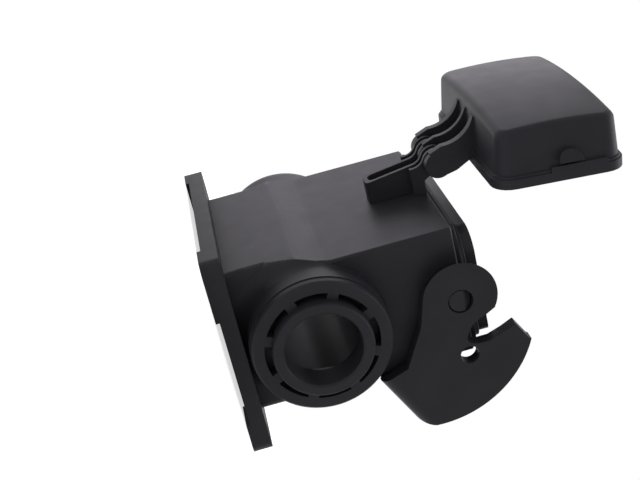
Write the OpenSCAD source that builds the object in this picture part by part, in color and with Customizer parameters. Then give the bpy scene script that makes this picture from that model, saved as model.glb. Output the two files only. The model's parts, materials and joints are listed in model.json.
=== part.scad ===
// Surface mounting housing for a rectangular industrial connector, with a
// locking lever that swings on the short sides and a hinged protective cover.
// Frame: the origin is the middle of the four fixing holes, on the mounting plane.
// +Z is the way the plug leaves, X runs along the long side, the hinge is on +Y.

/* [Mouth] */
// Length of the body at its mouth, along X
mouth_l = 73; // [66:0.5:90]
// Width of the body at its mouth, along Y
mouth_w = 44.2; // [40:0.1:52]
// Height of the step round the mouth above the mounting plane
mouth_z = 77.1; // [72:0.1:95]
// Wall of the body
wall = 3; // [2:0.1:4]
// Radius of the upright edges at the mouth
mouth_r = 0.8; // [0.4:0.1:2]
// Step from the body's short sides in to the collar
step_x = 1.9; // [1.7:0.1:3]
// Step from the body's long sides in to the collar
step_y = 4.2; // [3:0.1:5]
// Height of the collar over the step
collar_h = 6.1; // [4:0.1:9]
// Corner radius of the collar on the hinge side
collar_r = 7.4; // [5:0.1:9]
// Corner radius of the collar on the lever side, tight so that a plug fits one way round
collar_lever_r = 2.5; // [2.3:0.1:5]
// Wall of the collar
collar_wall = 2.2; // [1.6:0.1:3]

/* [Base] */
// Length of the body above the flange, along X
base_l = 67; // [60:0.5:72]
// Width of the body above the flange, along Y
base_w = 49.8; // [44:0.1:56]
// Radius of the upright edges above the flange
base_r = 3; // [1:0.1:5]
// Height at which the body starts to change from the base to the mouth
neck_lo = 26; // [20:0.5:32]
// Height at which the body has reached the size of the mouth
neck_hi = 39; // [36:0.5:46]
// Thickness of the closed floor
floor_t = 3; // [2:0.1:5]

/* [Flange] */
// Length of the flange, along X
flange_l = 83; // [80:0.5:96]
// Width of the flange, along Y
flange_w = 69.2; // [64:0.1:80]
// Thickness of the flange plate
flange_t = 5; // [3.5:0.1:7]
// Corner radius of the flange
flange_r = 4.5; // [2:0.1:6]
// Height of the corner feet under the plate
foot_h = 1.2; // [0.5:0.1:3]
// Length of a corner foot, along X
foot_l = 12; // [10:0.5:16]
// Width of the corner feet on the hinge side, along Y
foot_w = 19.5; // [11:0.5:24]
// Width of the corner feet on the lever side, along Y
foot_lever_w = 12; // [11:0.5:22]
// Diameter of the fixing holes
fix_d = 5.5; // [4:0.1:6.5]
// Distance of the fixing holes from the edges of the flange
fix_edge = 5; // [4:0.1:6]
// How far the body stands off the middle of the flange, towards the hinge
body_y = 1; // [0:0.1:2]

/* [Cable entries] */
// Height of the entry axis above the mounting plane
entry_z = 29.6; // [28.5:0.1:33]
// Diameter of the outer ring
ring_d = 43.8; // [42:0.2:45]
// How far the ring stands out of the base wall
ring_out = 13.7; // [11:0.1:18]
// Length of the front part of the ring
ring_front = 3; // [2:0.1:5]
// How far the boss behind the front part is wider, on the radius
ring_step = 0.35; // [0.2:0.05:0.6]
// Radius of the fillet between ring and wall
ring_fillet = 5; // [3:0.1:5.5]
// Outer diameter of the groove between ring and sleeve
groove_d = 36; // [35:0.2:38]
// Depth of the groove
groove_depth = 5; // [3:0.1:6]
// Number of ribs across the groove
rib_n = 8; // [4:1:12]
// Width of a rib
rib_w = 3.4; // [2:0.1:4]
// Outer diameter of the sleeve
sleeve_d = 31.6; // [30:0.2:33]
// How far the sleeve stands out of the ring
sleeve_out = 2.8; // [1:0.1:5]
// Bore of the sleeve
bore_d = 24.4; // [20:0.1:25.5]
// Length of the bore, with its lead
bore_l = 10; // [9:0.1:12]
// Diameter of the hollow behind the bore
hollow_d = 34; // [28:0.5:35]
// Bevel on the edges of ring and sleeve
entry_bevel = 0.6; // [0.2:0.1:1.2]

/* [Contact insert] */
// Spacing of the insert screws, along X
insert_x = 54; // [50:0.5:56]
// Spacing of the insert screws, along Y
insert_y = 23; // [21:0.5:24]
// How far the screw posts end below the step
post_drop = 9; // [6:0.5:14]
// Height of a screw post
post_h = 14; // [10:0.5:20]
// Side of a screw post
post_s = 7.5; // [7:0.1:9]
// Outer diameter of a thread bush
bush_d = 5.6; // [5:0.1:6]
// Length of a thread bush
bush_l = 8; // [5:0.1:9]
// Room under a thread bush for the end of its screw
bush_under = 1; // [0.5:0.1:3]
// Core bore of a thread bush, for M4
bush_bore = 3.3; // [2.5:0.1:3.6]

/* [Mouth seal] */
// Height of the sealing lip over the step
seal_h = 2.8; // [2:0.1:4]
// Height of the flat part of the seal
seal_base_h = 1.3; // [0.8:0.1:1.8]
// Thickness of the sealing lip
seal_lip = 1.2; // [0.8:0.1:1.4]
// How far the seal stays in from the edge of the step
seal_edge = 0.6; // [0.4:0.1:1]

/* [Lever] */
// Thickness of a lever arm
arm_t = 4.5; // [3.5:0.1:6]
// Height of the pivot below the step
pivot_drop = 2.6; // [1.5:0.1:4]
// Place of the pivot, along Y
pivot_y = -0.45; // [-3:0.05:0]
// Diameter of the pivot stub
stub_d = 7.2; // [6:0.1:8]
// How far the stub ends inside the arm's outer face
stub_in = 0.4; // [0.2:0.1:1]
// Slant of the stub's snap-on end
stub_slant = 30; // [20:1:40]
// Radius of the round head about the pivot
head_r = 12; // [11:0.1:12.5]
// Radius of the outer edge of the arm
back_r = 35.3; // [35:0.1:38]
// Radius of the toe where the outer edge meets the bridge
toe_r = 9; // [6:0.1:10]
// Thickness of the bridge between the arms
bridge_t = 4.5; // [3:0.1:6]
// Radius of the edge between arm and bridge
bridge_r = 3.8; // [2:0.1:6]
// Radius of the corner between arm and bridge, inside
bridge_in_r = 2; // [1:0.1:4]
// Radius of the hole below the slot's end
relief_r = 3; // [2.5:0.1:3.2]

/* [Cover] */
// Height of the cover over its rim
cover_h = 20.1; // [16:0.1:25]
// Wall of the cover
cover_wall = 2.2; // [1.6:0.1:3]
// Wall of the rim
rim_wall = 2.3; // [1.8:0.1:3]
// Height of the rim bead
rim_h = 3.2; // [3:0.1:4.5]
// How far the rim bead stands out of the wall
rim_out = 1.2; // [0.8:0.1:1.6]
// Corner radius of the rim
cover_r = 6.5; // [5:0.1:8]
// Radius of the edge round the outer face
face_r = 2.5; // [1:0.1:3]
// Lean of the walls from rim to face
cover_lean = 0.9; // [0.4:0.1:1.4]
// Radius of a locking peg
peg_r = 3.8; // [3:0.1:4]
// How far a peg stands out of the rim
peg_out = 2.7; // [2:0.1:3.5]
// Place of the pegs from the lever pivot, along Y
peg_dy = -2; // [-3:0.1:-1]
// Angle by which the cover stands open
cover_open = 85.1; // [60:0.1:115]

/* [Hinge] */
// Distance of the hinge axis from the body
hinge_out = 9.9; // [9:0.1:13]
// Height of the hinge axis over the closed rim
hinge_rise = 1.4; // [0.5:0.1:3]
// Diameter of the hinge pin
pin_d = 3; // [2:0.1:3.6]
// Wall of the cover's outer ribs over the ends of the pin
pin_cap = 0.8; // [0.5:0.1:1.5]
// Radius of the bracket's barrels
barrel_r = 4.6; // [4:0.1:5]
// Radius of the round ends of the cover's ribs
eye_r = 4.4; // [4:0.1:5]
// Distance between the inner faces of the cover's outer ribs
hinge_gap = 15.2; // [13:0.1:20]
// Thickness of the cover's outer ribs
eye_t = 2.9; // [2:0.1:4]
// Thickness of the cover's middle rib
mid_t = 2; // [1.5:0.1:2.4]
// Thickness of the bracket's ribs and of its channel walls
web_t = 1.4; // [1:0.1:1.5]
// Width of the bracket's channel, outside
channel_w = 7.2; // [6.8:0.1:7.4]
// Height at which the channel ends above the mounting plane
channel_z = 58; // [52:0.5:62]
// Height of the channel wall at its low end
web_lo = 7.5; // [5:0.1:8.5]
// Height of the channel wall under the barrels
web_hi = 9.6; // [9:0.1:10]
// Radius of the sweep from channel wall to barrel
sweep_r = 4; // [3:0.1:5]
// Radius of the channel's upright corners
channel_r = 1.6; // [0.8:0.1:3]
// Thickness of the bracket's base
bracket_base = 1.2; // [0.8:0.1:2]

/* [Clearances] */
// Between parts that pass each other
gap = 0.3; // [0.2:0.05:0.5]
// Radial play of a pin that turns
run_fit = 0.05; // [0.02:0.01:0.09]
// Play of a piece seated in or round another
seat_fit = 0.05; // [0.02:0.01:0.1]
// Between the collar and the inside of the rim
collar_play = 0.9; // [0.6:0.1:1.2]
// Between the seal and the closed rim
seal_gap = 0.4; // [0.2:0.1:0.8]
// Between the lever's head and a peg
head_play = 0.4; // [0.3:0.05:1]
// Between the bridge of the open lever and the body
bridge_gap = 0.6; // [0.4:0.1:1.5]

/* [Hidden] */
$fn = 96;
over = 0.5;
corner_n = 6;
plastic = "#2b2a2e";
rubber = "#161617";
fix_x = flange_l - 2 * fix_edge;
fix_y = flange_w - 2 * fix_edge;
collar_l = mouth_l - 2 * step_x;
collar_w = mouth_w - 2 * step_y;
plate_z = foot_h + flange_t;
floor_z = foot_h + floor_t;
mouth_bevel = 0.5;
deck_t = wall;
ring_r = ring_d / 2;
boss_r = ring_r + ring_step;
ring_x = base_l / 2 + ring_out;
sleeve_x = ring_x + sleeve_out;
bore_x = sleeve_x - bore_l;
post_z = mouth_z - post_drop;

// Cover, closed: its rim lies over the seal and its opening clears the collar
rim_z = mouth_z + seal_h + seal_gap;
rim_in_l = collar_l + 2 * collar_play;
rim_in_w = collar_w + 2 * collar_play;
cover_l = rim_in_l + 2 * rim_wall;
cover_w = rim_in_w + 2 * rim_wall;
ledge_h = rim_h + 1.8;
ledge_y = 3.3;
rim_step = 0.8;
axis_y = mouth_w / 2 + hinge_out;
axis_z = rim_z + hinge_rise;

// Lever: the arms pass outside both the body and the cover's rim
pivot_z = mouth_z - pivot_drop;
arm_in = max(mouth_l, cover_l) / 2 + gap;
arm_out = arm_in + arm_t;
head_c = [1.2, 0.1];
back_c = [-6.7, -12.7];
neck_dir = [sin(10.5), -cos(10.5)];
neck_out = [[-3.6, -13.4], [-6, -14.3]];
waist = [-18.4, -20.6];
bridge_a = [-21.45, -29.6];
bridge_turn = 63;
bridge_in = [cos(bridge_turn), sin(bridge_turn)];
bridge_dir = [-sin(bridge_turn), cos(bridge_turn)];
tip_out = [-19.5, 19.5];
tip_in = [-12.9, 15.8];
slot_in = [[-5.4, 9.9], [-6.7, 7.5], [-7.6, 5], [-8.9, 2.6], [-10.8, 1.1], [-13.4, -0.2]];
slot_end = [[-14.5, -0.4], [-15.2, 0.2], [-15.8, 1.4]];
hook_in = [[-16.3, 3.2], [-16.3, 7], [-14.7, 11.8]];
relief_c = [-19.5, -0.3];
peg_dz = head_c[1] + head_r + head_play;

// The toe's circle runs into the bridge line and into the outer edge of the arm
toe_bite = 0.05;
toe_off = toe_r - toe_bite;
toe_foot = bridge_a + toe_off * bridge_in - back_c;
toe_half = toe_foot * bridge_dir;
toe_run = -toe_half + sqrt(toe_half ^ 2 - toe_foot * toe_foot + (back_r - toe_off) ^ 2);
toe_c = bridge_a + toe_off * bridge_in + toe_run * bridge_dir;

// The sweep touches the top of the channel wall and the barrel
sweep_y = mouth_w / 2 + web_hi + sweep_r;
sweep_z = axis_z - sqrt((sweep_r + barrel_r) ^ 2 - (sweep_y - axis_y) ^ 2);
bracket_top = mouth_z - gap;
barrel_in = mid_t / 2 + gap;
arch_low = eye_r + 2;
arch_top = cover_h - face_r - hinge_rise - 1.5;
arch_c = [-1.5, arch_low + 11.2];
rib_low = [-6, -eye_r * 0.6];
rib_lift = 1;
rib_set = 0.6;
rib_back = [1 - barrel_r, -2];
rib_foot = 4.5;
barrel_out = hinge_gap / 2 - 2 * gap;
pin_end = hinge_gap / 2 + eye_t - pin_cap;

// Smooth run from 0 to 1
function ease(t) = t * t * (3 - 2 * t);

// Share of the change from base to mouth that is done at height z
function neck(z) = ease(min(1, max(0, (z - neck_lo) / (neck_hi - neck_lo))));
function mix(a, b, t) = a + (b - a) * t;

// Half width of the body along Y at height z
function half_w(z) = mix(base_w, mouth_w, neck(z)) / 2;

// Points of a rounded rectangle at height z, anticlockwise
function ring(l, w, r, z) = [for (c = [0:3], i = [0:corner_n])
    let (a = 90 * (c + i / corner_n))
    [(c == 0 || c == 3 ? 1 : -1) * (l / 2 - r) + r * cos(a),
     (c < 2 ? 1 : -1) * (w / 2 - r) + r * sin(a), z]];

// Closed solid through a stack of rings with equal numbers of points
module loft(rings) {
    n = len(rings[0]);
    top = n * (len(rings) - 1);
    polyhedron(
        points = [for (r = rings) each r],
        faces = [[for (i = [0:n - 1]) i], [for (i = [0:n - 1]) top + n - 1 - i],
                 for (k = [0:len(rings) - 2], i = [0:n - 1])
                     let (j = (i + 1) % n) [k * n + i, k * n + n + i, k * n + n + j, k * n + j]]);
}

// Flat rounded rectangle with true arcs
module plate(l, w, r) {
    square([l - 2 * r, w], center = true);
    square([l, w - 2 * r], center = true);
    for (x = [-1, 1], y = [-1, 1])
        translate([x * (l / 2 - r), y * (w / 2 - r)]) circle(r);
}

// Plan of the collar, grown all round by the given amount
module collar_plan(grow) {
    l = collar_l + 2 * grow;
    w = collar_w + 2 * grow;
    r = collar_r + grow;
    s = collar_lever_r + grow;
    translate([-l / 2, -w / 2 + s]) square([l, w - r - s]);
    translate([-l / 2 + r, 0]) square([l - 2 * r, w / 2]);
    translate([-l / 2 + s, -w / 2]) square([l - 2 * s, w / 2]);
    for (x = [-1, 1]) {
        translate([x * (l / 2 - r), w / 2 - r]) circle(r);
        translate([x * (l / 2 - s), -w / 2 + s]) circle(s);
    }
}

// A profile drawn in Y and Z, extruded along X about the middle
module across(width) {
    rotate([90, 0, 90]) linear_extrude(width, center = true) children();
}

// Where the body stands over the flange
module placed() {
    translate([0, body_y, 0]) children();
}

// Both short sides
module both_ends() {
    for (x = [0, 1]) mirror([x, 0, 0]) children();
}

// The four places of a rectangular pattern
module four(px, py) {
    for (x = [-1, 1], y = [-1, 1]) translate([x * px / 2, y * py / 2, 0]) children();
}

// Outside of the body when off is 0, its hollow when off is the wall
module body_form(off, z0, z1, bevel) {
    steps = 7;
    grow = [for (i = [0:steps]) mix(neck_lo, neck_hi, i / steps)];
    loft([
        ring(base_l - 2 * off, base_w - 2 * off, max(base_r - off / 2, 0.5), z0),
        for (z = grow)
            ring(mix(base_l, mouth_l, neck(z)) - 2 * off, 2 * half_w(z) - 2 * off,
                 max(mix(base_r, mouth_r, neck(z)) - off / 2, 0.5), z),
        ring(mouth_l - 2 * off, mouth_w - 2 * off, max(mouth_r - off / 2, 0.5), z1 - bevel),
        ring(mouth_l - 2 * off - 2 * bevel, mouth_w - 2 * off - 2 * bevel, max(mouth_r - off / 2, 0.5), z1)
    ]);
}

// Round boss of one cable entry, on +X, without its bore
module entry_boss() {
    translate([0, 0, entry_z]) rotate([0, 90, 0]) {
        rotate_extrude() polygon([[0, base_l / 2 - wall], [boss_r, base_l / 2 - wall],
            [boss_r, ring_x - ring_front], [ring_r, ring_x - ring_front],
            [ring_r, ring_x - entry_bevel], [ring_r - entry_bevel, ring_x],
            [sleeve_d / 2, ring_x], [sleeve_d / 2, sleeve_x - entry_bevel],
            [sleeve_d / 2 - entry_bevel, sleeve_x], [0, sleeve_x]]);
    }
    intersection() {
        translate([0, 0, entry_z]) rotate([0, 90, 0]) rotate_extrude() difference() {
            translate([boss_r - over, base_l / 2 - wall]) square([ring_fillet + over, ring_fillet + wall]);
            translate([boss_r + ring_fillet, base_l / 2 + ring_fillet]) circle(ring_fillet);
        }
        across(2 * sleeve_x) body_side();
    }
}

// Side view of the body, in Y and Z
module body_side() {
    heights = [floor_z, neck_lo, for (i = [1:8]) mix(neck_lo, neck_hi, i / 8), mouth_z - wall];
    last = len(heights) - 1;
    polygon([for (z = heights) [half_w(z), z], for (i = [last:-1:0]) [-half_w(heights[i]), heights[i]]]);
}

// What is cut from one cable entry, on +X
module entry_cut() {
    translate([0, 0, entry_z]) rotate([0, 90, 0]) {
        translate([0, 0, bore_x - over]) cylinder(d = bore_d, h = bore_l + 2 * over);
        translate([0, 0, sleeve_x - entry_bevel])
            cylinder(d1 = bore_d, d2 = bore_d + 4 * entry_bevel, h = 2 * entry_bevel);
        translate([0, 0, base_l / 2 - wall - over])
            cylinder(d = hollow_d, h = bore_x - base_l / 2 + wall + over);
        difference() {
            translate([0, 0, ring_x - groove_depth]) cylinder(d = groove_d, h = groove_depth + over);
            translate([0, 0, ring_x - groove_depth - over])
                cylinder(d = sleeve_d, h = groove_depth + 3 * over);
            for (i = [0:rib_n - 1]) rotate((i + 0.5) * 360 / rib_n)
                translate([sleeve_d / 2 - over, -rib_w / 2, ring_x - groove_depth - over])
                    cube([(groove_d - sleeve_d) / 2 + 2 * over, rib_w, groove_depth + 3 * over]);
        }
    }
}

// Stub on which one lever arm turns, on +X, with its slanted snap-on end
module pivot_stub() {
    end = arm_out - stub_in;
    translate([0, pivot_y, pivot_z]) difference() {
        translate([mouth_l / 2 - over, 0, 0]) rotate([0, 90, 0])
            cylinder(d = stub_d, h = end - mouth_l / 2 + over);
        translate([end, 0, stub_d / 8]) rotate([0, -stub_slant, 0]) translate([0, -stub_d, 0])
            cube([stub_d, 2 * stub_d, stub_d]);
    }
}

module screw_post() {
    translate([-post_s / 2, -post_s / 2, -post_h]) cube([post_s + wall, post_s + wall, post_h]);
}

// Plate with its four corner feet, about the middle of the fixing holes
module flange() {
    translate([0, 0, foot_h]) linear_extrude(flange_t) plate(flange_l, flange_w, flange_r);
    intersection() {
        linear_extrude(plate_z - over) plate(flange_l, flange_w, flange_r);
        both_ends() for (w = [foot_w, -foot_lever_w]) translate([flange_l / 2 - foot_l, 0, 0])
            translate([0, w > 0 ? flange_w / 2 - w : -flange_w / 2, 0]) cube([foot_l, abs(w), foot_h + over]);
    }
}

module housing() color(plastic) {
    difference() {
        union() {
            translate([0, -body_y, 0]) flange();
            body_form(0, plate_z - over, mouth_z, mouth_bevel);
            translate([0, 0, mouth_z - over]) linear_extrude(collar_h + over) collar_plan(0);
            both_ends() entry_boss();
        }
        body_form(wall, floor_z, mouth_z - deck_t, 0);
        translate([0, 0, mouth_z - deck_t - over]) linear_extrude(collar_h + deck_t + 2 * over)
            collar_plan(-collar_wall);
        both_ends() entry_cut();
        translate([0, -body_y, -over]) four(fix_x, fix_y) cylinder(d = fix_d, h = plate_z + 2 * over);
    }
    both_ends() pivot_stub();
    difference() {
        intersection() {
            for (x = [0, 1], y = [0, 1]) mirror([x, 0, 0]) mirror([0, y, 0])
                translate([insert_x / 2, insert_y / 2, post_z]) screw_post();
            translate([0, 0, post_z - post_h]) linear_extrude(post_h)
                square([mouth_l - wall, mouth_w - wall], center = true);
        }
        four(insert_x, insert_y) translate([0, 0, post_z - bush_l - bush_under])
            cylinder(d = bush_d + 2 * seat_fit, h = bush_l + bush_under + over);
    }
}

module mouth_seal() color(rubber) translate([0, 0, mouth_z]) difference() {
    union() {
        linear_extrude(seal_base_h)
            plate(mouth_l - 2 * seal_edge, mouth_w - 2 * seal_edge, collar_lever_r + seal_lip);
        linear_extrude(seal_h) collar_plan(seat_fit + seal_lip);
    }
    translate([0, 0, -over]) linear_extrude(seal_h + 2 * over) collar_plan(seat_fit);
}

module thread_bushes() color("#b08d4a")
    four(insert_x, insert_y) translate([0, 0, post_z - bush_l]) difference() {
        cylinder(d = bush_d, h = bush_l);
        translate([0, 0, -over]) cylinder(d = bush_bore, h = bush_l + 2 * over);
    }

// Locking slot, open between the hook and the head
module slot_side() {
    polygon([each slot_in, each slot_end, each hook_in, tip_in, [tip_in[0], 2 * head_r],
             [slot_in[0][0], 2 * head_r]]);
}

// Side view of the lever about its pivot, in Y and Z, reaching past the bridge line
module lever_side() {
    past = 3;
    back_dir = (toe_c - back_c) / norm(toe_c - back_c);
    tip_dir = (tip_out - back_c) / norm(tip_out - back_c);
    lip_dir = (bridge_a - waist) / norm(bridge_a - waist);
    difference() {
        union() {
            intersection() {
                translate(back_c) circle(back_r, $fn = 180);
                union() {
                    polygon([head_c, head_c + head_r * neck_dir, each neck_out, waist,
                             bridge_a + past * lip_dir, toe_c - (toe_r + past) * bridge_in, toe_c,
                             toe_c + (toe_r + past) * back_dir, back_c + back_r * (back_dir + tip_dir),
                             tip_out + past * tip_dir, tip_out, tip_in]);
                    translate(toe_c) circle(toe_r);
                }
            }
            translate(head_c) circle(head_r);
        }
        slot_side();
        translate(relief_c) circle(relief_r);
    }
}

// Slab that follows the bridge: from -half to half in X, from n0 to n1 off the
// bridge line, with its two near edges rounded
module bridge_slab(half, n0, n1, r) {
    translate([0, bridge_a[0], bridge_a[1]]) rotate([bridge_turn, 0, 0])
        linear_extrude(4 * back_r, center = true) {
            translate([-half + r, n0]) square([2 * (half - r), n1 - n0]);
            translate([-half, n0 + r]) square([2 * half, n1 - n0 - r]);
            for (x = [-1, 1]) translate([x * (half - r), n0 + r]) circle(r);
        }
}

module locking_lever() color(plastic) translate([0, pivot_y, pivot_z]) difference() {
    intersection() {
        across(2 * arm_out + 2 * over) lever_side();
        bridge_slab(arm_out, 0, 2 * back_r, bridge_r);
    }
    bridge_slab(arm_in, bridge_t, 3 * back_r, bridge_in_r);
    translate([-arm_in, -mouth_w / 2 - bridge_gap - pivot_y, -2 * back_r])
        cube([2 * arm_in, 3 * back_r, 4 * back_r]);
    rotate([0, 90, 0]) cylinder(d = stub_d + 2 * run_fit, h = 3 * arm_out, center = true);
}

// Side view of one bracket rib with its barrel, in Y and Z
module rib_side(z0) {
    face_y = mouth_w / 2;
    difference() {
        union() {
            polygon([[face_y, z0], [face_y + web_hi, z0], [face_y + web_hi, sweep_z], [sweep_y, sweep_z],
                     [axis_y, axis_z], [axis_y, axis_z] + rib_back, [face_y + rib_foot, bracket_top],
                     [face_y, bracket_top]]);
            translate([axis_y, axis_z]) circle(barrel_r);
        }
        translate([sweep_y, sweep_z]) circle(sweep_r);
    }
}

// The channel in plan, as X against height, drawn in by the given amount
module channel_plan(off) {
    h = bracket_top - channel_z;
    translate([0, channel_z + off + h / 2]) intersection() {
        plate(channel_w - 2 * off, h, channel_r);
        translate([-channel_w, -h / 2]) square([2 * channel_w, h - off]);
    }
    translate([-channel_w / 2 + off, bracket_top - 2 * channel_r - off])
        square([channel_w - 2 * off, 2 * channel_r + off]);
}

module hinge_bracket() color(plastic) {
    face_y = mouth_w / 2;
    foot_z = sweep_z - web_t;
    difference() {
        union() {
            intersection() {
                translate([0, face_y, 0]) rotate([90, 0, 180]) mirror([1, 0, 0])
                    linear_extrude(web_hi + over) channel_plan(0);
                across(channel_w) polygon([[face_y, channel_z], [face_y + web_lo, channel_z],
                    [face_y + web_hi, sweep_z], [face_y + web_hi, bracket_top], [face_y, bracket_top]]);
            }
            both_ends() {
                translate([channel_w / 2 - web_t / 2, 0, 0]) across(web_t) rib_side(sweep_z);
                translate([barrel_out - web_t / 2, 0, 0]) across(web_t) rib_side(foot_z);
                translate([barrel_in, axis_y, axis_z]) rotate([0, 90, 0])
                    cylinder(r = barrel_r, h = barrel_out - barrel_in);
                translate([0, face_y, foot_z]) cube([barrel_out, bracket_base, bracket_top - foot_z]);
            }
        }
        translate([0, face_y + bracket_base, 0]) rotate([90, 0, 180]) mirror([1, 0, 0])
            linear_extrude(2 * hinge_out) channel_plan(web_t);
        translate([0, axis_y, axis_z]) rotate([0, 90, 0])
            cylinder(d = pin_d + 2 * seat_fit, h = 3 * barrel_out, center = true);
    }
}

module hinge_pin() color("#9a9a9c") translate([0, axis_y, axis_z]) rotate([0, 90, 0])
    cylinder(d = pin_d, h = 2 * pin_end, center = true);

// Side view of one hinge rib of the cover about the axis, in Y and Z, closed
module eye_side() {
    reach = axis_y - cover_w / 2;
    root = reach + cover_wall + rim_out;
    circle(eye_r);
    difference() {
        polygon([[eye_r / 4, 0], [eye_r * 0.6, eye_r], [arch_c[0], arch_low], [arch_c[0], arch_top],
                 [-root, arch_top], [-root, rib_lift], [-reach + rib_set, 0], rib_low, [0, -eye_r]]);
        translate(arch_c) circle(arch_c[1] - arch_low);
    }
}

// Outside of the cover over its rim
module cover_form() {
    turns = 5;
    wall_h = rim_h + rim_step;
    function size(out, z) = ring(cover_l - 2 * out, cover_w - 2 * out, cover_r - out, z);
    loft([
        size(0, 0), size(0, rim_h), size(rim_out / 2, rim_h),
        size(rim_out / 2, wall_h), size(rim_out, wall_h),
        for (i = [0:turns])
            let (a = 90 * i / turns)
            size(rim_out + cover_lean + face_r * (1 - cos(a)), cover_h - face_r * (1 - sin(a)))
    ]);
}

// Hollow of the cover: wide where the collar reaches in, then with its wall
module cover_hollow() {
    in = rim_out + cover_wall;
    reach = collar_h + mouth_z - rim_z + seal_gap;
    loft([
        ring(rim_in_l, rim_in_w, cover_r - rim_wall, -over),
        ring(rim_in_l, rim_in_w, cover_r - rim_wall, reach),
        ring(cover_l - 2 * in, cover_w - 2 * in, cover_r - in, reach),
        ring(cover_l - 2 * (in + cover_lean), cover_w - 2 * (in + cover_lean), cover_r - in - cover_lean,
             cover_h - cover_wall)
    ]);
}

// Ledge and half round peg on one short side, on +X
module cover_peg() {
    root = cover_l / 2 - rim_out - cover_lean - cover_wall / 2;
    translate([root, -cover_w / 2 + cover_r, rim_h / 2])
        cube([cover_l / 2 - root, cover_w / 2 - cover_r + ledge_y, ledge_h - rim_h / 2]);
    translate([root, pivot_y + peg_dy, pivot_z + peg_dz - rim_z]) rotate([0, 90, 0]) difference() {
        cylinder(r = peg_r, h = cover_l / 2 + peg_out - root);
        translate([0, -2 * peg_r, -over]) cube([2 * peg_r, 4 * peg_r, 3 * cover_h]);
    }
}

// The cover as it lies when closed
module closed_cover() {
    difference() {
        union() {
            translate([0, 0, rim_z]) cover_form();
            translate([0, axis_y, axis_z]) {
                across(mid_t) eye_side();
                both_ends() translate([(hinge_gap + eye_t) / 2, 0, 0]) across(eye_t) eye_side();
            }
            translate([0, 0, rim_z]) both_ends() cover_peg();
        }
        translate([0, 0, rim_z]) cover_hollow();
        translate([0, axis_y, axis_z]) rotate([0, 90, 0])
            cylinder(d = pin_d + 2 * run_fit, h = 2 * pin_end + 2 * gap, center = true);
    }
}

module cover() color(plastic) translate([0, axis_y, axis_z]) rotate([-cover_open, 0, 0])
    translate([0, -axis_y, -axis_z]) closed_cover();

placed() housing();
placed() mouth_seal();
placed() thread_bushes();
placed() locking_lever();
placed() hinge_bracket();
placed() hinge_pin();
placed() cover();
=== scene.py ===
# %% [markdown]
# # A connector housing with a locking lever and a hinged cover
# The real object is a black plastic base for a rectangular industrial plug. Its solids come from
# the CAD model, already in place and at their real size. This script gives them finishes, light and
# a camera, and reshapes copies of them where the real moulding has a small form that they leave plain.

# %% Load the solid model
import json

import bmesh
import bpy
import numpy as np
from mathutils import Matrix, Vector


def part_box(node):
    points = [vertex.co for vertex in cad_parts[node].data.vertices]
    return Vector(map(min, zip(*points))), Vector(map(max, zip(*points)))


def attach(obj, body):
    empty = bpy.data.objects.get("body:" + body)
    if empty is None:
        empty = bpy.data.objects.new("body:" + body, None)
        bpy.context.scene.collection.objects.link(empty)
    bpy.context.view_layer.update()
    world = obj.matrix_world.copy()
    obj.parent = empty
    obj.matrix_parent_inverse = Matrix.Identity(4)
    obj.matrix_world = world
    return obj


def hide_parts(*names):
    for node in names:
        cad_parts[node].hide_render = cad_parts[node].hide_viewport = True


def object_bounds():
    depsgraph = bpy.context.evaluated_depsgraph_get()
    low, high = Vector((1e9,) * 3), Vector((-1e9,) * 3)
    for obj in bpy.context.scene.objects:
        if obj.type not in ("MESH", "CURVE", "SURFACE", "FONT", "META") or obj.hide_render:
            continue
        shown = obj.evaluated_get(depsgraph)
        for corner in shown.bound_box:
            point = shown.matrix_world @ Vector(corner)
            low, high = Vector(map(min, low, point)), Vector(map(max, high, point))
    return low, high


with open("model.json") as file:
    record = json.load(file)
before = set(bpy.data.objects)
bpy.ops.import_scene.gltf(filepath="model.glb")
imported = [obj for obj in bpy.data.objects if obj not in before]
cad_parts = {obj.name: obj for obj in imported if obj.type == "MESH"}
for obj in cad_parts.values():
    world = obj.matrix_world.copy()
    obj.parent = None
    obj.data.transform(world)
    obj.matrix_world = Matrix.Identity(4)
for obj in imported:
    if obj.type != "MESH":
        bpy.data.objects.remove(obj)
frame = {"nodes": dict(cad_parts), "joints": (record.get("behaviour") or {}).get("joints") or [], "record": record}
cad_low, cad_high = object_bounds()
scene = bpy.context.scene
MM = 0.001


def named(rows, name):
    """The row of the frame's joints or mounts that has the name."""
    return next(row for row in rows if row["name"] == name)


print("nodes", sorted(frame["nodes"]), "box in mm", [round(v / MM, 1) for v in cad_high - cad_low])

# %% [markdown]
# ## The camera
# The photograph looks at one short side from a little above the hinge side, with the mating
# direction pointing to the right of the picture, so the camera is rolled by about a quarter turn.
# A camera could be aimed with a constraint, but three measured directions say it without any doubt:
# where the eye is, which way it looks, and which way is right in the picture.

# %% Place the camera
IMAGE_WIDTH_PX = 640
FOCAL_PX = 1193.1
SENSOR_MM = 36.0
CLIP_NEAR, CLIP_FAR = 0.01, 20.0
EYE = Vector((-362.9, 182.1, 17.9)) * MM
LOOK = Vector((0.9059, -0.4200, 0.0532)).normalized()
RIGHT_HINT = Vector((-0.1581, -0.2190, 0.9628))


def place_camera():
    """Camera axes are right, up and back; up is back crossed with right."""
    back = -LOOK
    right = (RIGHT_HINT - back * RIGHT_HINT.dot(back)).normalized()
    up = back.cross(right)
    data = bpy.data.cameras.new("camera")
    data.sensor_width = SENSOR_MM
    data.lens = FOCAL_PX / IMAGE_WIDTH_PX * SENSOR_MM
    data.clip_start, data.clip_end = CLIP_NEAR, CLIP_FAR
    camera = bpy.data.objects.new("camera", data)
    scene.collection.objects.link(camera)
    camera.matrix_world = Matrix.Translation(EYE) @ Matrix((right, up, back)).transposed().to_4x4()
    scene.camera = camera
    print("lens", round(data.lens, 1), "mm")


place_camera()

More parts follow.
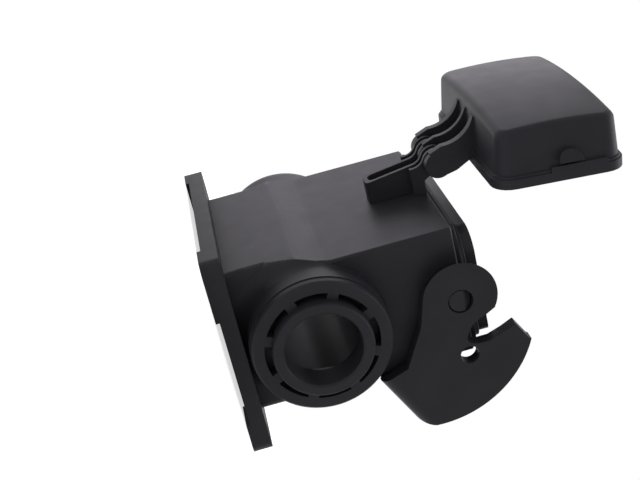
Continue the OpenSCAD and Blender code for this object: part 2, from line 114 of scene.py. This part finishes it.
# %% [markdown]
# ## Light and floor
# The photograph is taken against white, with the light coming from the hinge side and from behind.
# Black plastic is seen mostly by what it mirrors: the faces that look to the light mirror the white
# surroundings at a flat angle and turn grey, the faces towards the viewer stay nearly black. One lamp
# behind the object could do it, and a second one above keeps the other sides from drowning in black.

# %% Set up the studio
WORLD_FILL = 0.52
FLOOR_GLOW, FLOOR_WHITE, FLOOR_ROUGH, FLOOR_HALF = 0.65, 0.86, 0.9, 3.0
LAMPS = [("back", (0.8, 0.3, 0.12), 0.6, 1.9), ("top", (0.05, -0.1, 0.85), 0.7, 4.0)]
LAMP_TINT = (0.93, 0.88, 1.0)


def link(tree, a, out, b, into):
    tree.links.new(a.outputs[out], b.inputs[into])


def any_of(tree, sockets):
    """One socket that is 1 where any of the given 0 or 1 sockets is 1."""
    last = sockets[0]
    for socket in sockets[1:]:
        node = tree.nodes.new("ShaderNodeMath")
        node.operation = "MAXIMUM"
        tree.links.new(last, node.inputs[0])
        tree.links.new(socket, node.inputs[1])
        last = node.outputs[0]
    return last


def seen_directly(tree):
    """1 for what the eye, a reflection or a see-through look meets, 0 for light that bounces."""
    path = tree.nodes.new("ShaderNodeLightPath")
    kinds = ("Is Camera Ray", "Is Glossy Ray", "Is Transmission Ray")
    return any_of(tree, [path.outputs[kind] for kind in kinds])


def white_world():
    world = bpy.data.worlds.new("studio")
    scene.world = world
    world.use_nodes = True
    tree = world.node_tree
    tree.nodes.clear()
    out = tree.nodes.new("ShaderNodeOutputWorld")
    back = tree.nodes.new("ShaderNodeBackground")
    back.inputs["Color"].default_value = (1, 1, 1, 1)
    level = tree.nodes.new("ShaderNodeMapRange")
    level.inputs["To Min"].default_value = WORLD_FILL
    level.inputs["To Max"].default_value = 1.0
    tree.links.new(seen_directly(tree), level.inputs["Value"])
    link(tree, level, "Result", back, "Strength")
    link(tree, back, "Background", out, "Surface")


def white_floor():
    """A square at the height of the mounting plane, pale, with part of its white of its own."""
    mesh = bpy.data.meshes.new("floor")
    corners = np.array([(-1, -1, 0), (1, -1, 0), (1, 1, 0), (-1, 1, 0)]) * FLOOR_HALF
    mesh.from_pydata((corners + (0, 0, cad_low.z)).tolist(), [], [(0, 1, 2, 3)])
    floor = bpy.data.objects.new("floor", mesh)
    scene.collection.objects.link(floor)
    mat = bpy.data.materials.new("floor")
    mat.use_nodes = True
    tree = mat.node_tree
    shader = tree.nodes["Principled BSDF"]
    shader.inputs["Base Color"].default_value = (FLOOR_WHITE, FLOOR_WHITE, FLOOR_WHITE, 1)
    shader.inputs["Roughness"].default_value = FLOOR_ROUGH
    shader.inputs["Emission Color"].default_value = (1, 1, 1, 1)
    glow = tree.nodes.new("ShaderNodeMath")
    glow.operation = "MULTIPLY"
    glow.inputs[1].default_value = FLOOR_GLOW
    tree.links.new(seen_directly(tree), glow.inputs[0])
    link(tree, glow, "Value", shader, "Emission Strength")
    mesh.materials.append(mat)


def lamp(name, place, target, size, watts):
    """A square soft lamp that looks from place to target."""
    data = bpy.data.lights.new(name, "AREA")
    data.size, data.energy, data.color = size, watts, LAMP_TINT
    obj = bpy.data.objects.new(name, data)
    scene.collection.objects.link(obj)
    obj.location = place
    obj.rotation_euler = (Vector(target) - Vector(place)).to_track_quat("-Z", "Y").to_euler()


white_world()
white_floor()
MIDDLE = (cad_low + cad_high) / 2
for name, offset, size, watts in LAMPS:
    lamp(name, MIDDLE + Vector(offset), MIDDLE, size, watts)
scene.view_settings.view_transform = "Standard"
print("studio ready")

# %% [markdown]
# ## Black moulded polyamide
# The housing, lever, bracket and cover are injection moulded from black glass-filled polyamide. Up
# close it has a fine eroded grain, and it is a little uneven in gloss where the melt flowed. Noise
# at two scales on object coordinates gives that without any image.

# %% Make the plastics
SPECULAR = 0.12
TONE_SCALE, GLOSS_SCALE, GRAIN_SCALE = 90, 160, 4200
GRAIN_DEPTH = 0.05 * MM


def start_material(name):
    mat = bpy.data.materials.new(name)
    mat.use_nodes = True
    tree = mat.node_tree
    coords = tree.nodes.new("ShaderNodeTexCoord").outputs["Object"]
    return mat, tree, tree.nodes["Principled BSDF"], coords


def noise(tree, coords, scale, detail):
    node = tree.nodes.new("ShaderNodeTexNoise")
    node.inputs["Scale"].default_value = scale
    node.inputs["Detail"].default_value = detail
    tree.links.new(coords, node.inputs["Vector"])
    return node.outputs["Fac"]


def spread(tree, value, low, high, start=0.3, end=0.7):
    """Maps a noise value from start to end onto low to high."""
    node = tree.nodes.new("ShaderNodeMapRange")
    for name, number in (("From Min", start), ("From Max", end), ("To Min", low), ("To Max", high)):
        node.inputs[name].default_value = number
    tree.links.new(value, node.inputs["Value"])
    return node.outputs["Result"]


def two_tones(tree, shader, value, dark, light):
    """Colours the shader from dark to light by a noise value."""
    tone = tree.nodes.new("ShaderNodeMix")
    tone.data_type = "RGBA"
    tone.inputs["A"].default_value = (*dark, 1)
    tone.inputs["B"].default_value = (*light, 1)
    tree.links.new(spread(tree, value, 0, 1), tone.inputs["Factor"])
    tree.links.new(tone.outputs["Result"], shader.inputs["Base Color"])


def plastic(name, dark, light, rough=(0.44, 0.48), grain=0.12):
    mat, tree, shader, coords = start_material(name)
    shader.inputs["Specular IOR Level"].default_value = SPECULAR
    two_tones(tree, shader, noise(tree, coords, TONE_SCALE, 3), dark, light)
    gloss = noise(tree, coords, GLOSS_SCALE, 4)
    tree.links.new(spread(tree, gloss, *rough), shader.inputs["Roughness"])
    bump = tree.nodes.new("ShaderNodeBump")
    bump.inputs["Strength"].default_value = grain
    bump.inputs["Distance"].default_value = GRAIN_DEPTH
    tree.links.new(noise(tree, coords, GRAIN_SCALE, 2), bump.inputs["Height"])
    link(tree, bump, "Normal", shader, "Normal")
    return mat


HOUSING = plastic("housing_polyamide", (0.0195, 0.0185, 0.0225), (0.0235, 0.0225, 0.0265))
LEVER = plastic("lever_polyamide", (0.0185, 0.0175, 0.0210), (0.0225, 0.0215, 0.0250))
COVER = plastic("cover_polyamide", (0.0195, 0.0185, 0.0225), (0.0235, 0.0225, 0.0270))
RUBBER = plastic("seal_rubber", (0.0150, 0.0145, 0.0165), (0.0190, 0.0180, 0.0210), (0.52, 0.58), 0.05)
print("plastics ready")

# %% [markdown]
# ## Metals
# The thread bushes are turned brass and the hinge pin is drawn steel. Both carry fine lines from the
# tool, so their noise is stretched: round the axis on the bushes, along the wire on the pin.

# %% Make the metals


def metal(name, dark, light, stretch, rough):
    mat, tree, shader, coords = start_material(name)
    shader.inputs["Metallic"].default_value = 1.0
    scale = tree.nodes.new("ShaderNodeVectorMath")
    scale.operation = "MULTIPLY"
    scale.inputs[1].default_value = stretch
    tree.links.new(coords, scale.inputs[0])
    lines = noise(tree, scale.outputs["Vector"], 1, 3)
    two_tones(tree, shader, lines, dark, light)
    tree.links.new(spread(tree, lines, *rough), shader.inputs["Roughness"])
    return mat


BRASS = metal("turned_brass", (0.50, 0.34, 0.13), (0.66, 0.48, 0.22), (300, 300, 6000), (0.28, 0.4))
STEEL = metal("drawn_steel", (0.42, 0.42, 0.43), (0.56, 0.56, 0.57), (200, 7000, 7000), (0.3, 0.42))
print("metals ready")

# %% [markdown]
# ## Edges
# A sharp edge never looks real: every moulded edge has a small radius that catches the light. The
# solids come in as triangles, so they are welded, flat faces are joined, the sharp edges get a
# small rounding and the shading follows the large faces. All of it is done by modifiers, which leave
# the solids themselves as they are. Where shapes meet in many short edges, a rounding has no room, and
# the edges are only marked as sharp.

# %% Round the edges and give each solid its finish
WELD_NEAR = 0.002 * MM
FLAT_ANGLE, SHARP_ANGLE = np.radians(0.4), np.radians(32)
EDGE_SEGMENTS, AREA_WEIGHT = 2, 60
PIN_EDGE = 0.2 * MM


def finish_solid(obj, material, edge):
    """Gives a solid its material and rounds its sharp edges, or keeps them crisp if edge is 0."""
    obj.data.materials.clear()
    obj.data.materials.append(material)
    obj.data.polygons.foreach_set("use_smooth", np.ones(len(obj.data.polygons), bool))
    weld = obj.modifiers.new("weld", "WELD")
    weld.merge_threshold = WELD_NEAR
    flat = obj.modifiers.new("flat", "DECIMATE")
    flat.decimate_type = "DISSOLVE"
    flat.angle_limit = FLAT_ANGLE
    if edge:
        bevel = obj.modifiers.new("edges", "BEVEL")
        bevel.width = edge
        bevel.segments = EDGE_SEGMENTS
        bevel.use_clamp_overlap = False
        bevel.limit_method = "ANGLE"
        bevel.angle_limit = SHARP_ANGLE
    else:
        obj.data.set_sharp_from_angle(angle=SHARP_ANGLE)
    shade = obj.modifiers.new("shade", "WEIGHTED_NORMAL")
    shade.weight = AREA_WEIGHT
    shade.keep_sharp = not edge
    print(obj.name, "edges rounded by", round(edge / MM, 2), "mm")


finish_solid(frame["nodes"]["hinge_pin"], STEEL, PIN_EDGE)

# %% [markdown]
# ## The crowned cover
# The cover's outer face is not flat: it swells towards its middle, which keeps a moulded face from
# sinking in and lets water run off. It could be lofted anew from rings, but then its ribs and pegs
# would have to be fitted again. So a copy of the solid is turned shut, cut into narrow strips, and
# its points are lowered towards the edges by a formula that moves outside and inside alike.

# %% Crown the cover
CROWN_LIFT, CROWN_LONG, CROWN_ACROSS, CROWN_FADE = 0.55 * MM, 1.9 * MM, 0.8 * MM, 14 * MM
CROWN_REACH = 1.15
STRIPS_LONG, STRIPS_ACROSS = 15, 9
PEG_SLOPE, COVER_EDGE = 0.85, 0.15 * MM
FACE_NEAR = 0.1 * MM
hinge = named(frame["joints"], "cover_swing")
HINGE_PLACE = np.array(hinge["pos_m"])
SHUT = np.radians(hinge["range_deg"][1])


def turned(points, angle):
    """Points turned about the hinge line along X: y and z are mixed by the angle's cosine and sine."""
    c, s = np.cos(angle), np.sin(angle)
    return (points - HINGE_PLACE) @ np.array([(1, 0, 0), (0, c, s), (0, -s, c)]) + HINGE_PLACE


def get_points(mesh):
    flat = np.empty(len(mesh.vertices) * 3)
    mesh.vertices.foreach_get("co", flat)
    return flat.reshape(-1, 3)


def cut_across(shape, axis, places):
    """Cuts every face where it crosses one of the planes at the given places along an axis."""
    way = np.eye(3)[axis]
    for place in places:
        everything = shape.verts[:] + shape.edges[:] + shape.faces[:]
        bmesh.ops.bisect_plane(shape, geom=everything, plane_co=way * place, plane_no=way)


def merge_faces(mesh, cuts=()):
    """Welds the mesh's loose triangles, joins them into large flat faces, and cuts these at the places
    given for each axis."""
    shape = bmesh.new()
    shape.from_mesh(mesh)
    bmesh.ops.remove_doubles(shape, verts=shape.verts, dist=WELD_NEAR)
    bmesh.ops.dissolve_limit(shape, angle_limit=FLAT_ANGLE, verts=shape.verts, edges=shape.edges)
    for axis, places in cuts:
        cut_across(shape, axis, places)
    shape.to_mesh(mesh)
    shape.free()


def crowned(points, low, high):
    """Lifts the middle a little and lowers each point by the crown times the square of its share of
    the way from middle to edge, along both sides, fading smoothly to nothing below the face."""
    away = np.minimum(((points - (low + high) / 2) / (high - low) * 2)[:, :2] ** 2, CROWN_REACH)
    fade = np.clip(1 - (high[2] - points[:, 2]) / CROWN_FADE, 0, 1)
    lower = (away @ (CROWN_LONG, CROWN_ACROSS) - CROWN_LIFT) * fade ** 2 * (3 - 2 * fade)
    return points - lower[:, None] * (0, 0, 1)


def sloped_pegs(points):
    """The ends of the two pegs lean back: each end point moves in by its height over the peg's flat."""
    out = np.abs(points[:, 0])
    end = out > out.max() - FACE_NEAR
    rise = points[:, 2] - points[end, 2].min()
    moved = points.copy()
    moved[end, 0] -= np.sign(points[end, 0]) * rise[end] * PEG_SLOPE
    return moved


def piece_from(name, mesh, points):
    mesh.name = name
    mesh.vertices.foreach_set("co", points.ravel())
    mesh.update()
    obj = bpy.data.objects.new(name, mesh)
    scene.collection.objects.link(obj)
    return obj


def crowned_cover():
    mesh = frame["nodes"]["cover"].data.copy()
    points = turned(get_points(mesh), SHUT)
    mesh.vertices.foreach_set("co", points.ravel())
    face = points[points[:, 2] > points[:, 2].max() - FACE_NEAR]
    low, high = face.min(0), face.max(0)
    merge_faces(mesh, [(axis, np.linspace(low[axis], high[axis], count + 1)[1:-1])
                       for axis, count in enumerate((STRIPS_LONG, STRIPS_ACROSS))])
    points = sloped_pegs(crowned(get_points(mesh), low, high))
    return piece_from("crowned_cover", mesh, turned(points, -SHUT))


cover = crowned_cover()
finish_solid(cover, COVER, COVER_EDGE)
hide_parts("cover")
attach(cover, "lid")
print("cover", len(cover.data.polygons), "faces")

# %% [markdown]
# ## The locking lever
# The lever's arms are plates whose round heads are cut back on the inside, so that from the front only
# a thin bright edge shows, and they turn on the stubs with a narrow dark gap. Both could be cut with
# booleans, but it is enough to move the points of two rings in a copy of the solid.

# %% Cut back the lever's heads and widen its holes
HEAD_PLACE, HEAD_R, HEAD_CUT = np.array([1.75, 74.6]) * MM, 12 * MM, 2.3 * MM
HOLE_R, HOLE_GAP = 3.65 * MM, 0.35 * MM
HEAD_FROM, HEAD_TO, HEAD_FADE = -79, 115, 25
PIVOT = np.array(named(frame["joints"], "lever_swing")["pos_m"])[1:]
RING_NEAR, LEVER_EDGE = 0.08 * MM, 0.2 * MM


def ring_points(points, place, radius):
    """The direction of each point from a line along X, and which points lie on the radius round it."""
    away = points[:, 1:] - place
    distance = np.hypot(away[:, 0], away[:, 1])
    return away / np.maximum(distance, 1e-9)[:, None], np.abs(distance - radius) < RING_NEAR


def cut_back_heads(points):
    """Inner points of the head's arc move towards its middle, less near the ends of the arc."""
    way, on_arc = ring_points(points, HEAD_PLACE, HEAD_R)
    out = np.abs(points[:, 0])
    inner = on_arc & (out < out[on_arc].min() + FACE_NEAR)
    angle = np.degrees(np.arctan2(way[:, 1], way[:, 0]))
    share = np.clip(np.minimum(angle - HEAD_FROM, HEAD_TO - angle) / HEAD_FADE, 0, 1) * inner
    moved = points.copy()
    moved[:, 1:] -= way * (share * HEAD_CUT)[:, None]
    return moved


def widen_holes(points):
    """Points on the holes' wall move away from the pivot by the gap."""
    way, on_wall = ring_points(points, PIVOT, HOLE_R)
    moved = points.copy()
    moved[:, 1:] += way * (on_wall * HOLE_GAP)[:, None]
    return moved


def plate_lever():
    mesh = frame["nodes"]["locking_lever"].data.copy()
    merge_faces(mesh)
    return piece_from("plate_lever", mesh, widen_holes(cut_back_heads(get_points(mesh))))


lever = plate_lever()
finish_solid(lever, LEVER, LEVER_EDGE)
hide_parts("locking_lever")
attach(lever, "lever")
print("lever", len(lever.data.polygons), "faces")

# %% [markdown]
# ## The hinge bracket
# The bracket's two barrels aren't plain drums: each is a pair of thin ribs with a valley between them,
# so that the walls of the moulding stay even. The barrels could be turned anew, but cutting a copy of
# the solid beside each rib and moving the rings between the cuts inwards keeps the rest as it is.

# %% Cut the valleys into the barrels
BARREL_R, VALLEY_DEEP = 4.6 * MM, 0.9 * MM
VALLEYS = np.array([(0.0, 2.2), (3.6, 5.6)]) * MM
VALLEY_WALL, BRACKET_EDGE = 0.02 * MM, 0.1 * MM


def ribbed_bracket():
    """Ring points between the cuts move towards the hinge line by the valley's depth."""
    mesh = frame["nodes"]["hinge_bracket"].data.copy()
    starts, ends = VALLEYS[1:, 0], VALLEYS[:, 1]
    steps = np.concatenate([ends, starts, ends - VALLEY_WALL, starts + VALLEY_WALL])
    merge_faces(mesh, [(0, np.concatenate([steps, -steps]))])
    points = get_points(mesh)
    way, on_barrel = ring_points(points, HINGE_PLACE[1:], BARREL_R)
    out = np.abs(points[:, 0])[:, None]
    edge = VALLEY_WALL / 2
    inside = ((out > VALLEYS[:, 0] + edge) & (out < VALLEYS[:, 1] - edge)).any(axis=1)
    points[:, 1:] -= way * (on_barrel & inside)[:, None] * VALLEY_DEEP
    return piece_from("ribbed_bracket", mesh, points)


bracket = ribbed_bracket()
finish_solid(bracket, LEVER, BRACKET_EDGE)
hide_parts("hinge_bracket")
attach(bracket, "base")
print("bracket", len(bracket.data.polygons), "faces")

# %% [markdown]
# ## The housing
# Round each cable entry a hollow fillet spreads out like a skirt on the body's short side. On the real
# moulding it runs out smoothly over the body's round corners. The solid's skirt stands off there. A
# blend could be modelled anew, but it is enough to bend the skirt's points back, in a copy, by as much
# as the corner falls away.

# %% Bend the entries' skirts over the corners
ENTRY_PLACE = np.array(named(frame["record"]["mounts"], "entry_left")["pos_m"])[1:]
FACE_X, CORNER_START, CORNER_R = 33.5 * MM, 21.9 * MM, 3 * MM
SKIRT_IN, SKIRT_OUT, SKIRT_FADE = 22.25 * MM, 27.25 * MM, 5 * MM
SKIRT_NEAR, SKIRT_END, SEAM_NEAR = 0.02 * MM, 1.02, 0.05 * MM


def bent_skirts(points):
    """The corner falls away by its radius minus the root of radius squared minus distance squared; a
    skirt point moves in by that times the square of its share of the way out from the entry."""
    from_axis = points[:, 1:] - ENTRY_PLACE
    share = (np.hypot(from_axis[:, 0], from_axis[:, 1]) - SKIRT_IN) / (SKIRT_OUT - SKIRT_IN)
    over = np.clip(np.abs(from_axis[:, 0]) - CORNER_START, 0, CORNER_R)
    fall = CORNER_R - np.sqrt(CORNER_R ** 2 - over ** 2)
    below = np.clip(-from_axis[:, 1] / SKIRT_FADE, 0, 1)
    on_skirt = (np.abs(points[:, 0]) > FACE_X - SKIRT_NEAR) & (share < SKIRT_END)
    moved = points.copy()
    moved[:, 0] -= np.sign(points[:, 0]) * fall * np.clip(share, 0, 1) ** 2 * below * on_skirt
    return moved


def soften_seams(mesh):
    """An edge with both ends on a skirt's rim, over a round corner, is shaded as if it were flat."""
    from_axis = get_points(mesh)[:, 1:] - ENTRY_PLACE
    on_rim = np.abs(np.hypot(from_axis[:, 0], from_axis[:, 1]) - SKIRT_OUT) < SEAM_NEAR
    on_rim &= (np.abs(from_axis[:, 0]) > CORNER_START) & (from_axis[:, 1] < 0)
    ends, sharp = np.empty(2 * len(mesh.edges), int), np.empty(len(mesh.edges), bool)
    mesh.edges.foreach_get("vertices", ends)
    marks = mesh.attributes["sharp_edge"].data
    marks.foreach_get("value", sharp)
    marks.foreach_set("value", sharp & ~on_rim[ends.reshape(-1, 2)].all(axis=1))


def smooth_housing():
    mesh = frame["nodes"]["housing"].data.copy()
    merge_faces(mesh)
    return piece_from("smooth_housing", mesh, bent_skirts(get_points(mesh)))


housing = smooth_housing()
finish_solid(housing, HOUSING, 0)
soften_seams(housing.data)
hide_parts("housing")
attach(housing, "base")
print("housing", len(housing.data.polygons), "faces")

# %% [markdown]
# ## The mouth seal
# A moulded rubber ring lies on the step round the collar: a flat strip with a raised lip against the
# collar. A rubber edge is always round. The ring is made as one surface: across it runs a profile,
# along it runs the outline of the mouth, and each profile point rides on one of three such outlines.

# %% Sweep the seal round the collar


def outline(length, width, hinge_r, lever_r, count=24):
    """Rounded rectangle: each corner's centre plus its radius times cosine and sine of the angle."""
    turn = np.radians(np.concatenate([90 * c + np.linspace(0, 90, count) for c in range(4)]))
    corner = np.repeat([(1, 1), (-1, 1), (-1, -1), (1, -1)], count, axis=0)
    radius = np.repeat([hinge_r, hinge_r, lever_r, lever_r], count)[:, None]
    middle = corner * (np.array([length, width]) / 2 - radius)
    return middle + radius * np.stack([np.cos(turn), np.sin(turn)], 1)


def grid_mesh(name, points, material):
    """Quads over a grid of points, rows by columns, closed round both ways."""
    rows, columns = points.shape[:2]
    r, c = np.meshgrid(np.arange(rows), np.arange(columns), indexing="ij")
    r2, c2 = (r + 1) % rows, (c + 1) % columns
    quads = np.stack([r * columns + c, r * columns + c2, r2 * columns + c2, r2 * columns + c], -1)
    mesh = bpy.data.meshes.new(name)
    mesh.from_pydata((points.reshape(-1, 3) * MM).tolist(), [], quads.reshape(-1, 4).tolist())
    mesh.polygons.foreach_set("use_smooth", np.ones(len(mesh.polygons), bool))
    mesh.materials.append(material)
    obj = bpy.data.objects.new(name, mesh)
    scene.collection.objects.link(obj)
    return obj


def arc(centre, radius, start, end, count):
    """Points on a circle from angle start to end, in degrees."""
    a = np.radians(np.linspace(start, end, count))
    return np.stack([centre[0] + radius * np.cos(a), centre[1] + radius * np.sin(a)], 1)


seal_low, seal_high = (np.array(v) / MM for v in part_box("mouth_seal"))
SEAL_MIDDLE = (seal_low + seal_high) / 2
SEAL_L, SEAL_W, SEAL_H = seal_high - seal_low
COLLAR_L, COLLAR_W, HINGE_R, LEVER_R = 69.3, 35.9, 7.45, 2.55
LIP, STRIP_H, OUTER_R = 1.2, 1.3, 3.7
ROUND_AT, ROUND_R = 0.75, 0.5


def seal_points():
    """Up to the lip, a profile point lies on the inner outline mixed towards the lip's outline by its
    share of the lip; beyond it, on the lip's outline mixed towards the outer one."""
    inner = outline(COLLAR_L, COLLAR_W, HINGE_R, LEVER_R)
    lip = outline(COLLAR_L + 2 * LIP, COLLAR_W + 2 * LIP, HINGE_R + LIP, LEVER_R + LIP)
    outer = outline(SEAL_L, SEAL_W, OUTER_R, OUTER_R)
    top = arc((LIP / 2, SEAL_H - LIP / 2), LIP / 2, 180, 0, 9)
    rings = [inner] + [inner + (lip - inner) * (a / LIP) for a in top[:, 0]] + [lip]
    heights = [0.0] + list(top[:, 1]) + [STRIP_H]
    edge = arc((ROUND_AT, STRIP_H - ROUND_R), ROUND_R, 90, 0, 5)
    share = ROUND_AT + (edge[:, 0] - ROUND_AT) * (1 - ROUND_AT) / ROUND_R
    rings += [lip + (outer - lip) * t for t in share] + [outer]
    heights += list(edge[:, 1]) + [0.0]
    flat = np.array(rings) + SEAL_MIDDLE[:2]
    high = np.broadcast_to(np.array(heights)[:, None, None] + seal_low[2], flat.shape[:2] + (1,))
    return np.concatenate([flat, high], -1)


seal = grid_mesh("seal_ring", seal_points()[::-1], RUBBER)
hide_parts("mouth_seal")
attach(seal, "base")
print("seal", len(seal.data.polygons), "faces")

# %% [markdown]
# ## The thread bushes
# Four brass bushes sit in the posts inside the mouth and take the screws of the contact insert. Seen
# from above, their thread shows. A thread is a surface whose radius depends on the height and on the
# angle together: it climbs by one pitch in each turn.

# %% Turn the bushes with their thread
PITCH, CORE_R, ROOT_R, LEAD = 0.7, 1.65, 1.95, 0.4
bush_low, bush_high = (np.array(v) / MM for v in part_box("thread_bushes"))
BUSH_R, BUSH_BEVEL, BUSH_SIDES, BUSH_ROWS = 2.8, 0.3, 48, 104
BUSH_H = bush_high[2] - bush_low[2]


def bush_points(x, y):
    """Rows run down the thread and up the outside; the thread's radius is the core radius plus a
    triangle wave of height over pitch minus the angle's share of a turn."""
    turn = np.linspace(0, 2 * np.pi, BUSH_SIDES, endpoint=False)
    high = np.linspace(BUSH_H, 0, BUSH_ROWS)[:, None]
    wave = np.abs(((high / PITCH - turn / (2 * np.pi)) % 1) * 2 - 1)
    radius = CORE_R + (ROOT_R - CORE_R) * wave
    lead = ROOT_R + LEAD - np.minimum(BUSH_H - high, high)
    radius = np.maximum(radius, lead)
    ends = np.array([(BUSH_R - BUSH_BEVEL, 0), (BUSH_R, BUSH_BEVEL),
                     (BUSH_R, BUSH_H - BUSH_BEVEL), (BUSH_R - BUSH_BEVEL, BUSH_H)])
    radius = np.concatenate([radius, np.broadcast_to(ends[:, :1], (len(ends), BUSH_SIDES))])
    high = np.concatenate([high, ends[:, 1:]]) + bush_low[2]
    return np.stack([x + radius * np.cos(turn), y + radius * np.sin(turn),
                     np.broadcast_to(high, radius.shape)], -1)


places = [(x, y) for x in (bush_low[0] + BUSH_R, bush_high[0] - BUSH_R)
          for y in (bush_low[1] + BUSH_R, bush_high[1] - BUSH_R)]
bushes = [grid_mesh(f"bush_{i}", bush_points(x, y), BRASS) for i, (x, y) in enumerate(places)]
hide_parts("thread_bushes")
for bush in bushes:
    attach(bush, "base")
print(len(bushes), "bushes with a pitch of", PITCH, "mm")
